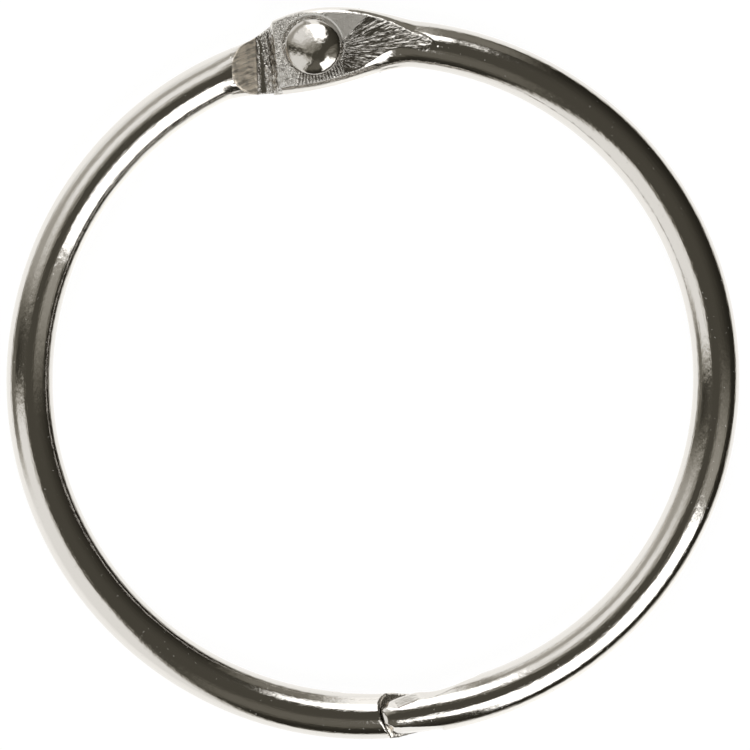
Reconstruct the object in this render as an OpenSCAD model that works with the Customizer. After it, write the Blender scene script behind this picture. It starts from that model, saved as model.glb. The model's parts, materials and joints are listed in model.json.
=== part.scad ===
// Binder ring: two halves of formed round wire that swing on a rivet and close in a half lap.
// It lies flat, its rivet head up. The hinge is on +Y and the latch on -Y.
// Each half is drawn in a frame of its own: the middle of the wire is at z = 0, the half lies
// on the +X side, and its mating faces look down. The left half is the same form turned over.

/* [Ring] */
// Diameter of the round wire
wire_d = 3.7; // [3:0.1:6]
// Inside diameter that each half is bent to
inside_d = 49.5; // [30:0.5:100]
// How far the centre of each bend lies out to its own side
side_shift = 0.65; // [0:0.05:1.5]

/* [Hinge eye] */
// Width across the flattened eye
eye_w = 6.4; // [5.6:0.1:8]
// Thickness of one flattened eye
eye_t = 1.35; // [0.9:0.05:1.6]
// From the pivot to the sheared end of the eye, on its outer face
eye_end = 2.95; // [2.4:0.05:3.2]
// How much further the sheared end reaches on the mating face
eye_lip = 0.6; // [0:0.05:0.8]
// Slant of the sheared end, which is further from the pivot inside the ring
eye_slant = 4; // [0:1:10]
// Radius about the pivot to which the outer corner of the eye is trimmed
eye_swing_r = 3.75; // [3.5:0.05:4]
// How far the pivot lies outside the middle of the wire
pivot_out = 0.17; // [0:0.01:0.5]
// Squareness of the eye's outer edge, where 2 is round
outer_squareness = 4.4; // [2:0.1:8]
// Squareness of its inner edge, which keeps more of the wire's roundness
inner_squareness = 2.8; // [2:0.1:8]
// Length over which the eye narrows into the round wire
eye_taper = 8; // [6:0.5:14]
// The same length on the outer edge of the left half, which was pressed in a tighter die
left_outer_taper = 4.6; // [4:0.1:14]
// Fullness of the taper, where 2 is slim and 1 is full
taper_power = 1.3; // [1.1:0.1:2]
// From the pivot to the foot of the ramp on the outer face
ramp_from = 3; // [2.6:0.1:4]
// From the pivot to the top of the ramp on the outer face
ramp_to = 8.5; // [6:0.1:12]

/* [Shoulder] */
// From the pivot to the shoulder that the other half's eye faces
shoulder_at = 4.5; // [4.2:0.1:6]
// Height of its upright foot
shoulder_foot = 0.3; // [0:0.05:0.8]
// Slope of the ramp above the foot
shoulder_slope = 41; // [30:1:70]
// Slant of the shoulder, which is further from the pivot inside the ring
shoulder_slant = 8; // [0:1:12]

/* [Rivet] */
// Diameter of the shank
shank_d = 2.4; // [1.6:0.1:3]
// Diameter of the domed head
head_d = 4.3; // [3.4:0.1:5.2]
// Height of the domed head
head_h = 1.4; // [0.6:0.1:2]
// Radius of the dome's crown, which is flatter than its rounded edge
crown_r = 3.7; // [2.9:0.1:5]
// Height of the upright rim under the dome
head_rim = 0.15; // [0.05:0.05:0.4]
// Diameter of the peened tail
tail_d = 3.6; // [3:0.1:4.6]
// How far the peened tail stays above the surface that the ring lies on
tail_lift = 0.1; // [0.05:0.05:0.3]

/* [Latch] */
// Length of the half lap, from the tip of one tongue to the tip of the other
lap_len = 4.9; // [4:0.1:8]
// How far the middle of the lap lies towards the left half
lap_shift = 1.6; // [0:0.1:4]
// From the middle of the wire to the inner edge of a tongue
tongue_in = 1.56; // [1.3:0.02:1.7]
// From the middle of the wire to the outer edge of a tongue
tongue_out = 1.66; // [1.3:0.02:1.8]
// Radius of the long inner side of the nose
nose_side_r = 5; // [4:0.5:8]
// Radius of the blunt end of the nose
nose_end_r = 4; // [3:0.5:12]
// Lean of the blunt end where it leaves the tip
nose_lean = 9.5; // [5:0.5:30]
// How far the tip of the nose lies inside the middle of the wire
nose_tip_in = 0.4; // [0:0.05:0.6]
// Radius of the scooped wall that faces the other half's nose
notch_r = 2.7; // [2.5:0.1:4]
// From the middle of the lap to the nip at the root of each tongue
nip_at = 2; // [1.5:0.1:3]
// How far the root of the right tongue is nipped in
right_nip = 0.5; // [0:0.05:0.6]
// How far the root of the left tongue is nipped in
left_nip = 0.15; // [0:0.05:0.6]
// From the middle of the lap to where the right half's outer edge fills out again
right_fills_at = 4; // [2:0.5:5]
// From the middle of the lap to where the left half's outer edge fills out again
left_fills_at = -0.8; // [-2:0.1:5]
// Radius of the catch rib across each tongue
catch_r = 0.5; // [0.3:0.05:0.6]
// How far the catch rib stands out of the mating face
catch_h = 0.25; // [0.1:0.05:0.35]
// From the middle of the lap to each catch rib
catch_at = 1.3; // [0.8:0.1:2]
// Width of each catch rib across the tongue
catch_w = 1.6; // [1:0.1:2.4]

/* [Fits] */
// Radial clearance of the right eye on the rivet shank
turning_gap = 0.05; // [0.02:0.01:0.1]
// Clearance between the mating faces of the two halves
face_gap = 0.05; // [0.02:0.01:0.1]
// Clearance between a nose and the wall that it faces
nose_gap = 0.08; // [0.05:0.01:0.2]

/* [Hidden] */
$fn = 96;

wire_r = wire_d / 2;
bend_r = inside_d / 2 + wire_r;
pivot_y = sqrt(pow(bend_r, 2) - pow(side_shift, 2)) + pivot_out;
pivot_angle = 90 + asin(side_shift / bend_r);
degrees_per_mm = 180 / (PI * bend_r);

// A cutter reaches this far past whatever it cuts
past = 2;
// Rings of the swept eye before and behind the pivot, and points round each of them
eye_rings = 16;
back_rings = 10;
ring_points = 32;
// The swept eye starts this far behind the pivot and is then trimmed to its end
eye_back = eye_taper * back_rings / eye_rings;
// The swept eye runs on into the round wire by this much, and is this much slimmer there
seam_len = 0.3;
seam_gap = 0.01;

// Share of the eye's form that is left at a distance along the wire, either way from the pivot
function eye_share(s, length) = abs(s) >= length ? 0 : pow(cos(90 * s / length), taper_power);

// Half width of the section towards one side
function half_width(s, length) = wire_r - seam_gap * (s >= eye_taper ? 1 : 0)
    + (eye_w / 2 - wire_r) * eye_share(s, length);

// A power that keeps its sign, for the rounded square of the eye's section
function signed_power(value, power) = sign(value) * pow(abs(value), power);

// One ring of the swept eye, round the wire at a distance from the pivot
function eye_ring(s, outer_taper) =
    let (
        angle = pivot_angle - s * degrees_per_mm,
        share = eye_share(s, eye_taper),
        height = wire_r - seam_gap * (s >= eye_taper ? 1 : 0)
    )
    [for (i = [0 : ring_points - 1])
        let (
            turn = 360 * i / ring_points,
            squareness = cos(turn) > 0 ? outer_squareness : inner_squareness,
            power = 2 / (2 + (squareness - 2) * share),
            side = half_width(s, cos(turn) > 0 && s > 0 ? outer_taper : eye_taper),
            r = bend_r + side * signed_power(cos(turn), power)
        )
        [
            side_shift + r * cos(angle),
            r * sin(angle),
            height * signed_power(sin(turn), power)
        ]];

// The flattened eye and its taper, swept along the bend as one closed skin
module swept_eye(outer_taper) {
    stations = concat(
        [for (i = [-back_rings : eye_rings]) eye_taper * i / eye_rings],
        [eye_taper + seam_len]
    );
    rings = [for (s = stations) eye_ring(s, outer_taper)];
    last = len(rings) - 1;
    sides = [for (k = [0 : last - 1]) for (i = [0 : ring_points - 1])
        let (a = k * ring_points, b = a + ring_points, j = (i + 1) % ring_points)
        each [[a + i, b + i, b + j], [a + i, b + j, a + j]]];
    ends = [
        [for (i = [0 : ring_points - 1]) i],
        [for (i = [0 : ring_points - 1]) last * ring_points + ring_points - 1 - i]
    ];
    polyhedron([for (ring = rings) each ring], concat(sides, ends), convexity = 4);
}

// The round wire, from the end of the eye's taper to past the tip of the tongue
module bent_wire(lap_at) {
    from_angle = -90 + (lap_at - lap_len / 2 - past) * degrees_per_mm;
    to_angle = pivot_angle - eye_taper * degrees_per_mm;
    translate([side_shift, 0, 0])
        rotate([0, 0, from_angle])
            rotate_extrude(angle = to_angle - from_angle)
                translate([bend_r, 0])
                    circle(r = wire_r);
}

// Extrudes an outline drawn in x and z right across the eye
module across_eye() {
    translate([0, pivot_y + eye_w, 0])
        rotate([90, 0, 0])
            linear_extrude(2 * eye_w)
                children();
}

// Turns its children about the pivot, seen from above
module slanted_about_pivot(angle) {
    translate([0, pivot_y, 0])
        rotate([0, 0, angle])
            translate([0, -pivot_y, 0])
                children();
}

// What the die presses off the outer face: the flat of the eye and its ramp
module outer_cut() {
    across_eye()
        polygon([
            [-eye_back - past, eye_t],
            [ramp_from, eye_t],
            [ramp_to, wire_r],
            [ramp_to, wire_r + past],
            [-eye_back - past, wire_r + past]
        ]);
}

// What is pressed off the mating face: half the thickness, up to the shoulder and its ramp
module mating_cut() {
    ramp_len = (wire_r + past - shoulder_foot) / tan(shoulder_slope);
    slanted_about_pivot(shoulder_slant)
        across_eye()
            polygon([
                [-eye_back - past, face_gap / 2],
                [shoulder_at, face_gap / 2],
                [shoulder_at, -shoulder_foot],
                [shoulder_at + ramp_len, -wire_r - past],
                [-eye_back - past, -wire_r - past]
            ]);
}

// What is sheared off behind the pivot, with the outer corner trimmed to swing past the shoulder
module end_cut() {
    slanted_about_pivot(-eye_slant)
        across_eye()
            polygon([
                [-eye_end - eye_lip, 0],
                [-eye_end, eye_t],
                [-eye_end, wire_r + past],
                [-eye_back - 2 * past, wire_r + past],
                [-eye_back - 2 * past, -wire_r - past],
                [-eye_end - eye_lip, -wire_r - past]
            ]);
    translate([0, pivot_y, -wire_r - past])
        linear_extrude(wire_d + 2 * past)
            difference() {
                translate([-eye_back - past, 0])
                    square([eye_back + past, eye_w]);
                circle(r = eye_swing_r);
            }
}

// Draws its children at the middle of the lap: +X along the wire, +Y into the ring
module at_lap(lap_at) {
    rotate([0, 0, lap_at * degrees_per_mm])
        translate([0, -bend_r, 0])
            children();
}

// Outline of a tongue from above, its nose to -X and its nipped root to +X
module tongue_outline(nip, fills_at) {
    side_drop = nose_side_r - tongue_in + nose_tip_in;
    side_at = sqrt(pow(nose_side_r, 2) - pow(side_drop, 2)) - lap_len / 2;
    end_x = nose_end_r * cos(nose_lean) - lap_len / 2;
    end_y = nose_end_r * sin(nose_lean) + nose_tip_in;
    root_drop = bend_r - sqrt(pow(bend_r, 2) - pow(lap_len, 2));
    far = 2 * lap_len + 3 * wire_r;
    intersection() {
        union() {
            translate([side_at, tongue_in - nose_side_r])
                circle(r = nose_side_r);
            polygon([
                [side_at, -wire_d],
                [side_at, tongue_in],
                [nip_at, wire_r - nip],
                [lap_len, wire_r + root_drop],
                [lap_len, wire_d],
                [far, wire_d],
                [far, -wire_d]
            ]);
        }
        union() {
            translate([end_x, end_y])
                circle(r = nose_end_r);
            translate([0, -wire_d])
                square([far, 2 * wire_d]);
        }
        polygon([
            [-lap_len, -tongue_out],
            [fills_at, -tongue_out],
            [fills_at + 3 * wire_r, -tongue_out - wire_r],
            [far, -wire_d],
            [far, wire_d],
            [-lap_len, wire_d]
        ]);
    }
}

// What is cut away round the tongue
module tongue_cut(lap_at, nip, fills_at) {
    at_lap(lap_at)
        translate([0, 0, -wire_d])
            linear_extrude(2 * wire_d)
                difference() {
                    translate([-lap_len, -wire_d])
                        square([2 * lap_len, 2 * wire_d]);
                    tongue_outline(nip, fills_at);
                }
}

// What is cut away under the tongue, with a scooped wall for the other half's nose
module lap_cut(lap_at) {
    at_lap(lap_at)
        translate([0, 0, -wire_d])
            linear_extrude(wire_d + face_gap / 2)
                union() {
                    translate([lap_len / 2 + nose_gap - notch_r, 0])
                        circle(r = notch_r);
                    translate([-lap_len - past, -wire_d])
                        square([lap_len + past, 2 * wire_d]);
                }
}

// A round bar across the tongue, its centre a height above the mating plane
module cross_bar(along, r, height, length) {
    translate([along, length / 2, height])
        rotate([90, 0, 0])
            cylinder(h = length, r = r);
}

// One half ring in its own frame
module half_ring(lap_at, outer_taper, nip, fills_at, bore_d) {
    difference() {
        union() {
            difference() {
                union() {
                    swept_eye(outer_taper);
                    bent_wire(lap_at);
                }
                outer_cut();
                mating_cut();
                end_cut();
                lap_cut(lap_at);
            }
            at_lap(lap_at)
                cross_bar(-catch_at, catch_r, catch_r - catch_h, catch_w);
        }
        tongue_cut(lap_at, nip, fills_at);
        at_lap(lap_at)
            cross_bar(catch_at, catch_r + face_gap, catch_h - catch_r, catch_w + 2 * face_gap);
        translate([0, pivot_y, -wire_d])
            cylinder(h = 2 * wire_d, d = bore_d);
    }
}

module right_half_ring() {
    color("silver")
        translate([0, 0, wire_r])
            half_ring(-lap_shift, eye_taper, right_nip, right_fills_at, shank_d + 2 * turning_gap);
}

module left_half_ring() {
    color("gainsboro")
        translate([0, 0, wire_r])
            rotate([0, 180, 0])
                half_ring(lap_shift, left_outer_taper, left_nip, left_fills_at, shank_d);
}

// The rivet: its tail is peened tight against the left eye, its dome just clears the right one
module hinge_rivet() {
    head_base = eye_t + face_gap;
    tail_h = wire_r - eye_t - tail_lift;
    head_r = head_d / 2;
    dome_h = head_h - head_rim;
    edge_r = (2 * crown_r * dome_h - pow(dome_h, 2) - pow(head_r, 2)) / (2 * (crown_r - head_r));
    edge_x = head_r - edge_r;
    crown_x = crown_r * edge_x / (crown_r - edge_r);
    color("whitesmoke")
        translate([0, pivot_y, wire_r]) {
            translate([0, 0, -eye_t])
                cylinder(h = eye_t + head_base, d = shank_d);
            translate([0, 0, -eye_t - tail_h])
                cylinder(h = tail_h, d1 = shank_d, d2 = tail_d);
            translate([0, 0, head_base])
                cylinder(h = head_rim, d = head_d);
            translate([0, 0, head_base + head_rim])
                rotate_extrude()
                    intersection() {
                        union() {
                            translate([edge_x, 0])
                                circle(r = edge_r);
                            intersection() {
                                translate([0, dome_h - crown_r])
                                    circle(r = crown_r);
                                square([crown_x, head_h]);
                            }
                        }
                        square([head_r, head_h]);
                    }
        }
}

right_half_ring();
left_half_ring();
hinge_rivet();
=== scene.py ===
# %% [markdown]
# # A binder ring of nickel-plated wire
# The real ring is three pieces of metal: two half rings bent from round wire, and the rivet on
# which they swing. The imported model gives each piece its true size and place. Here each of them
# is modelled again with the soft edges, tool marks and plating of the real thing.

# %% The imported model
import bpy
import bmesh
import json
import math
from types import SimpleNamespace
from mathutils import Matrix, Vector, noise


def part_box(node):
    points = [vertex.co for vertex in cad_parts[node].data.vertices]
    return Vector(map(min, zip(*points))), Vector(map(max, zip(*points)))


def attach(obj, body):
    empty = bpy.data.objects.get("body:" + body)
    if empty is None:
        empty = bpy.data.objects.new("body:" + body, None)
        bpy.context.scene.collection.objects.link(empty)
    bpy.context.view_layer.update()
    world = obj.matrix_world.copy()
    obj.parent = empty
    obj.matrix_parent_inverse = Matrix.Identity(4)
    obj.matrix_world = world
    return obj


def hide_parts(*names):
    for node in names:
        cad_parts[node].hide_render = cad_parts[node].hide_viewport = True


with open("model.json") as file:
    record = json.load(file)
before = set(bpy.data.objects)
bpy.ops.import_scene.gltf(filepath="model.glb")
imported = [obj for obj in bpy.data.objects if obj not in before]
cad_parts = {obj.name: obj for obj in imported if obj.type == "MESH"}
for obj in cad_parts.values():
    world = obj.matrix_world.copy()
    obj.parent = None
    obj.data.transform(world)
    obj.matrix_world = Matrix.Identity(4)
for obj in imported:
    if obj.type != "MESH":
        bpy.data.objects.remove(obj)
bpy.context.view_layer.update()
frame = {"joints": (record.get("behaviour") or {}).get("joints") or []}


# %% [markdown]
# ## Sizes
# The parts of a ring are small, so they are modelled a thousand times larger, one unit to the
# millimetre, and shrunk to metres when they are finished. That keeps every modelling tool well
# inside its working range. The wire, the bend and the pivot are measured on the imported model, so
# that they follow it. Each half is bent about a point a little to its own side of the middle.

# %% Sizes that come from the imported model
MM = 0.001
right_low, right_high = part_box("right_half_ring")
rivet_low, rivet_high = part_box("hinge_rivet")
hinge = next(joint for joint in frame["joints"] if joint["name"] == "hinge_swing")

WIRE_R = (right_high.z - right_low.z) / MM / 2
PIVOT_Y = hinge["pos_m"][1] / MM
SIDE_SHIFT = 0.65
BEND_R = right_high.x / MM - WIRE_R - SIDE_SHIFT
PIVOT_ANGLE = math.pi / 2 + math.asin(SIDE_SHIFT / BEND_R)
print(f"wire radius {WIRE_R:.2f}, bent to {BEND_R:.2f}, pivot {PIVOT_Y:.2f} from the middle")

# %% [markdown]
# ### The forging and the latch
# The hinge end is forged flat in a die and then sheared, and the latch end is nipped and cut to a
# half lap. Their sizes stand here in millimetres, one group for each tool. The left half is the
# right half turned over, so most sizes serve both. The few that differ are named by side.

# %% Sizes of the forging
EYE_W, EYE_T = 6.4, 1.35
OUTER_SQUARE, INNER_SQUARE = 4.4, 2.4
# The eye narrows to plain wire over the taper's length
EYE_TAPER, TAPER_POWER = 8, 1.3
OUTER_TAPER = {"right": 8, "left": 4.6}
# The pressed face: flat as far as the ramp, which rises to the top of the wire
RAMP_FROM, RAMP_TO, RAMP_POWER, RAMP_TILT = 3, 9.4, 1.6, 0.145
# The sheared end, with its lip below and its round outer corner
END_AT, END_LIP, END_R, END_SLANT = 2.95, 0.6, 3.75, math.radians(4)
# The shoulder: the slope under the wire that the end of the other eye faces
SHOULDER_AT, SHOULDER_FOOT = 4.5, 0.3
SHOULDER_SLOPE, SHOULDER_SLANT = math.radians(41), math.radians(8)
FACE_GAP = 0.05
BORE_R = {"right": 1.25, "left": 1.2}
print(f"eye {EYE_W} wide and {EYE_T} thick, bored {2 * BORE_R['right']} and {2 * BORE_R['left']}")

# %% Sizes of the latch
LAP_LEN = 4.9
LAP_AT = {"right": -1.6, "left": 1.6}
TONGUE_OUT = 1.66
# The nip is deepest at its place and fades along its reach
NIP_AT, NIP_REACH = 1.7, 4.3
NIP = {"right": 0.44, "left": 0.1}
CATCH_R, CATCH_H, CATCH_AT, CATCH_W = 0.5, 0.25, 1.3, 1.6
print(f"lap {LAP_LEN} long, catch rib {CATCH_H} high")

# %% [markdown]
# ## Working by hand, in code
# Every operator in Blender acts on what is selected, so each step starts with nothing selected.
# These helpers do what a modeller does with the mouse: take one object, enter edit mode, pick
# the points or edges at a certain place, and apply a modifier.

# %% Helpers for one object at a time
def take(obj):
    """Makes obj the only selected object."""
    bpy.ops.object.select_all(action="DESELECT")
    obj.select_set(True)
    bpy.context.view_layer.objects.active = obj


def start_edit(obj, kind="VERT"):
    """Enters edit mode on obj with nothing picked."""
    take(obj)
    bpy.ops.object.mode_set(mode="EDIT")
    bpy.ops.mesh.select_mode(type=kind)
    bpy.ops.mesh.select_all(action="DESELECT")


def end_edit():
    bpy.ops.object.mode_set(mode="OBJECT")


def pick(obj, test, borders_only=False):
    """In edit mode, picks the edges whose two ends pass the test and returns how many."""
    mesh = bmesh.from_edit_mesh(obj.data)
    count = 0
    for edge in mesh.edges:
        wanted = (edge.is_boundary or not borders_only) and all(test(v.co) for v in edge.verts)
        if wanted:
            edge.select_set(True)
            count += 1
    bmesh.update_edit_mesh(obj.data)
    return count


def modify(obj, kind, **settings):
    """Adds a modifier with these settings and applies it."""
    take(obj)
    modifier = obj.modifiers.new(kind.lower(), kind)
    for name, value in settings.items():
        setattr(modifier, name, value)
    bpy.ops.object.modifier_apply(modifier=modifier.name)


def cut(obj, die, operation="DIFFERENCE"):
    """Cuts obj with a die, or joins or crosses them, and removes the die."""
    modify(obj, "BOOLEAN", object=die, operation=operation, solver="MANIFOLD")
    bpy.data.objects.remove(die)


# %% [markdown]
# ## Round wire, bent to the ring
# Wire keeps its round section as it is bent. A curve with a bevel would give the same shape, but
# a spun circle gives a mesh whose rings can be widened and bridged later, so one circle is spun
# about the middle of the bend. The same spin makes the plain wire and, with closer steps, the
# blanks from which the eye and the tongue are formed.

# %% Spin a length of wire
SIDES = 176
BEND_CENTRE = Vector((SIDE_SHIFT, 0, 0))


def spun_wire(name, from_angle, to_angle, step, radius=WIRE_R):
    """Round wire along the bend between two angles about its middle, open at both ends."""
    start = BEND_CENTRE + Vector((BEND_R * math.cos(from_angle), BEND_R * math.sin(from_angle), 0))
    bpy.ops.object.select_all(action="DESELECT")
    bpy.ops.mesh.primitive_circle_add(
        vertices=SIDES, radius=radius, location=start, rotation=(math.pi / 2, 0, from_angle)
    )
    wire = bpy.context.object
    wire.name = name
    bpy.ops.object.transform_apply(location=True, rotation=True, scale=True)
    steps = round(abs(to_angle - from_angle) * BEND_R / step)
    start_edit(wire)
    bpy.ops.mesh.select_all(action="SELECT")
    bpy.ops.mesh.spin(steps=steps, angle=from_angle - to_angle, center=BEND_CENTRE, axis=(0, 0, 1))
    end_edit()
    print(name, "has", len(wire.data.polygons), "faces")
    return wire


def close_ends(wire):
    """Closes both open ends with a face and turns every face outwards."""
    start_edit(wire, "EDGE")
    bpy.ops.mesh.select_non_manifold()
    bpy.ops.mesh.edge_face_add()
    bpy.ops.mesh.select_all(action="SELECT")
    bpy.ops.mesh.normals_make_consistent(inside=False)
    end_edit()


# %% [markdown]
# ## The eye blank
# On the real ring the end of the wire is squeezed in a die, so that it spreads sideways into a
# flat eye. The blank is the same round wire with its points moved ring by ring: each ring is
# widened and squared by how near it is to the pivot, as the closing die would spread it. The
# inner side leans in above and below its middle, by the draft of the die.

# %% Widen the end of the wire
END_STEP = 0.14
EYE_BACK, EYE_SEAM = 5, 11.6
INNER_DRAFT, DRAFT_FROM = 0.75, 0.5
# The left eye is a little narrower inside the ring, past its pivot
TRIM, TRIM_LENGTH = 0.15, 2.5


def along_wire(point):
    """How far a point lies along the bend from the pivot, towards the latch."""
    return (PIVOT_ANGLE - math.atan2(point.y, point.x - SIDE_SHIFT)) * BEND_R


def eye_share(distance, length):
    """Share of the eye's form that is left at a distance from the pivot."""
    return math.cos(math.pi / 2 * min(abs(distance) / length, 1)) ** TAPER_POWER


def between(value, low, high):
    """0 below low, 1 above high and a smooth slope between."""
    share = min(1, max(0, (value - low) / (high - low)))
    return share * share * (3 - 2 * share)


def squared(value, power):
    return math.copysign(abs(value) ** power, value)


def section_at(distance, outer, side):
    """Half width of the spread wire at a place, and the power that squares its section."""
    share = eye_share(distance, EYE_TAPER)
    square = OUTER_SQUARE if outer else INNER_SQUARE
    taper = OUTER_TAPER[side] if outer and distance > 0 else EYE_TAPER
    half_width = WIRE_R + (EYE_W / 2 - WIRE_R) * eye_share(distance, taper)
    if side == "left" and not outer and distance < 0:
        half_width -= TRIM * min(1, -distance / TRIM_LENGTH)
    return half_width, 2 / (2 + (square - 2) * share)


def eye_blank(side):
    """The end of the wire, spread into the eye but not yet pressed flat."""
    from_angle = PIVOT_ANGLE + EYE_BACK / BEND_R
    to_angle = PIVOT_ANGLE - (EYE_SEAM + 1) / BEND_R
    blank = spun_wire("eye_blank", from_angle, to_angle, END_STEP)
    close_ends(blank)
    for vertex in blank.data.vertices:
        place = vertex.co
        outwards = Vector((place.x - SIDE_SHIFT, place.y, 0)).normalized()
        offset = (place - BEND_CENTRE).dot(outwards) - BEND_R
        half_width, power = section_at(along_wire(place), offset > 0, side)
        across = half_width * squared(offset / WIRE_R, power)
        height = WIRE_R * squared(place.z / WIRE_R, power)
        if offset < 0:
            drafted = half_width - INNER_DRAFT * max(0, abs(height) - DRAFT_FROM)
            blend = between(abs(along_wire(place)), 6.5, 3) * between(abs(height), 1.7, 1.45)
            across -= blend * max(0, drafted + across) * between(abs(offset), 0, 0.4 * WIRE_R)
        vertex.co = BEND_CENTRE + outwards * (BEND_R + across) + Vector((0, 0, height))
    return blank


for distance in (0, EYE_TAPER / 2, EYE_TAPER):
    half_width = section_at(distance, outer=True, side="right")[0]
    print(f"{distance} from the pivot the outer half width is {half_width:.2f}")


# %% [markdown]
# ## Dies and shears
# The die presses the outer face flat, with a ramp up to the wire. That face is tilted and curved,
# so it is pressed point by point, each point down to the height of the die. The shoulder and the
# sheared end are plain planes, which are cut with blocks. A block starts as a flat polygon with
# one point for each corner of its outline and is then extruded, so it is as sharp as a real tool.

# %% Blocks with a drawn outline
def arc(centre_x, centre_y, radius, from_angle, to_angle, steps):
    """Points along an arc, both ends included."""
    points = []
    for step in range(steps + 1):
        turn = from_angle + (to_angle - from_angle) * step / steps
        points.append((centre_x + radius * math.cos(turn), centre_y + radius * math.sin(turn)))
    return points


def block(outline, place, rise):
    """A block with the given outline: place puts an outline point in space, rise extrudes it."""
    bpy.ops.object.select_all(action="DESELECT")
    bpy.ops.mesh.primitive_circle_add(vertices=len(outline), radius=1, fill_type="NGON")
    die = bpy.context.object
    for vertex, point in zip(die.data.vertices, outline):
        vertex.co = place(*point)
    start_edit(die)
    bpy.ops.mesh.select_all(action="SELECT")
    bpy.ops.mesh.extrude_region_move(TRANSFORM_OT_translate={"value": rise})
    bpy.ops.mesh.select_all(action="SELECT")
    bpy.ops.mesh.normals_make_consistent(inside=False)
    end_edit()
    return die


def across_eye(outline, slant=0):
    """A block right across the eye, its outline drawn in x and z, turned about the pivot."""
    turn = Matrix.Rotation(slant, 3, "Z")
    pivot = Vector((0, PIVOT_Y, 0))
    return block(
        outline,
        lambda x, z: pivot + turn @ Vector((x, EYE_W, z)),
        turn @ Vector((0, -2 * EYE_W, 0)),
    )


# %% Press the eye
# The blocks reach past the wire above, below and behind
PAST = 2
TOP, BEHIND = WIRE_R + PAST, -EYE_BACK - PAST


def ramp_at(distance, offset):
    """Height of the pressed face: flat, then a ramp up to the wire that tilts a little outwards."""
    share = max(0, (distance - RAMP_FROM) / (RAMP_TO - RAMP_FROM))
    rise = (WIRE_R - EYE_T) * share ** RAMP_POWER
    return EYE_T + rise - RAMP_TILT * min(1, 1.5 * share) * offset


def out_from_bend(place):
    """How far a point lies outside the middle line of the wire."""
    return (place - BEND_CENTRE).to_2d().length - BEND_R


def press_eye(blank):
    """Presses the flat and the ramp on the outer face, and cuts the shoulder below."""
    for vertex in blank.data.vertices:
        height = ramp_at(along_wire(vertex.co), out_from_bend(vertex.co))
        vertex.co.z = min(vertex.co.z, height)
    reach = SHOULDER_AT + (TOP - SHOULDER_FOOT) / math.tan(SHOULDER_SLOPE)
    cut(blank, across_eye([
        (BEHIND, FACE_GAP / 2),
        (SHOULDER_AT, FACE_GAP / 2),
        (SHOULDER_AT, -SHOULDER_FOOT),
        (reach, -TOP),
        (BEHIND, -TOP),
    ], SHOULDER_SLANT))


print("ramp heights:", [round(ramp_at(distance, 0), 2) for distance in (0, 4, 6, 8)])

# %% Shear and drill it
def shear_end(blank, side):
    """Shears the end of the eye, trims its outer corner and drills it for the rivet."""
    cut(blank, across_eye([
        (-END_AT - END_LIP, 0),
        (-END_AT - 0.72 * END_LIP, 0.3 * EYE_T),
        (-END_AT - 0.36 * END_LIP, 0.62 * EYE_T),
        (-END_AT, EYE_T),
        (-END_AT, TOP),
        (BEHIND, TOP),
        (BEHIND, -TOP),
        (-END_AT - END_LIP, -TOP),
    ], -END_SLANT))
    corner = arc(0, PIVOT_Y, END_R, math.pi / 2, math.pi, 24)
    corner += [(BEHIND, PIVOT_Y), (BEHIND, PIVOT_Y + EYE_W), (0, PIVOT_Y + EYE_W)]
    cut(blank, block(corner, lambda x, y: Vector((x, y, -TOP)), Vector((0, 0, 2 * TOP))))
    bpy.ops.object.select_all(action="DESELECT")
    bpy.ops.mesh.primitive_cylinder_add(
        vertices=96, radius=BORE_R[side], depth=4 * WIRE_R, location=(0, PIVOT_Y, 0)
    )
    cut(blank, bpy.context.object)


# %% [markdown]
# ## Softening
# A pressed and barrel-polished part has no sharp edge on it. A voxel remesh gives the cut blank an
# even, close net of faces, and a little smoothing then rounds each edge by about a tenth of a
# millimetre. That net is also fine enough to carry the tool marks as real relief.

# %% Remesh and cut back to the seam
EYE_VOXEL, TONGUE_VOXEL = 0.07, 0.074
EYE_ROUNDS, TONGUE_ROUNDS = 9, 5


def soften(piece, voxel, rounds):
    modify(piece, "REMESH", mode="VOXEL", voxel_size=voxel, adaptivity=0)
    modify(piece, "SMOOTH", factor=0.5, iterations=rounds)
    print(piece.name, "softened to", len(piece.data.polygons), "faces")


def cut_back(piece, angle, keep_sign):
    """Cuts piece off square to the wire at an angle about the bend, and opens it there."""
    centre = BEND_CENTRE + Vector((BEND_R * math.cos(angle), BEND_R * math.sin(angle), 0))
    along = Vector((-math.sin(angle), math.cos(angle), 0)) * keep_sign
    start_edit(piece)
    bpy.ops.mesh.select_all(action="SELECT")
    bpy.ops.mesh.bisect(plane_co=centre, plane_no=along, clear_inner=True, threshold=0.0001)
    bpy.ops.mesh.remove_doubles(threshold=0.012)
    end_edit()


# %% [markdown]
# ## Marks of the die and the shear
# The die that flattened the eye was worn, so the flat is dented, a ring is coined round the rivet
# and the ramp is drawn out in long folds. A displacement texture could carry such marks, but each
# belongs to one place, so the points of the remeshed face are moved by a formula instead. The
# finish uses the same places further on, where the marks are too fine for the mesh.

# %% Dents and folds
RING_CENTRE = Vector((0.03, 0.12))
RING_R, RING_EDGE, RING_DEPTH = 2.4, 0.14, 0.06
RING_LIP, FOLD = 0.035, 0.022
FAN_AT = Vector((0.41, -0.47))
DIE_TURN = math.radians(10)


def wave(scale, *place):
    """Even noise from -1 to 1, at about this many waves to the millimetre."""
    return noise.noise(Vector(place) * scale)


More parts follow.
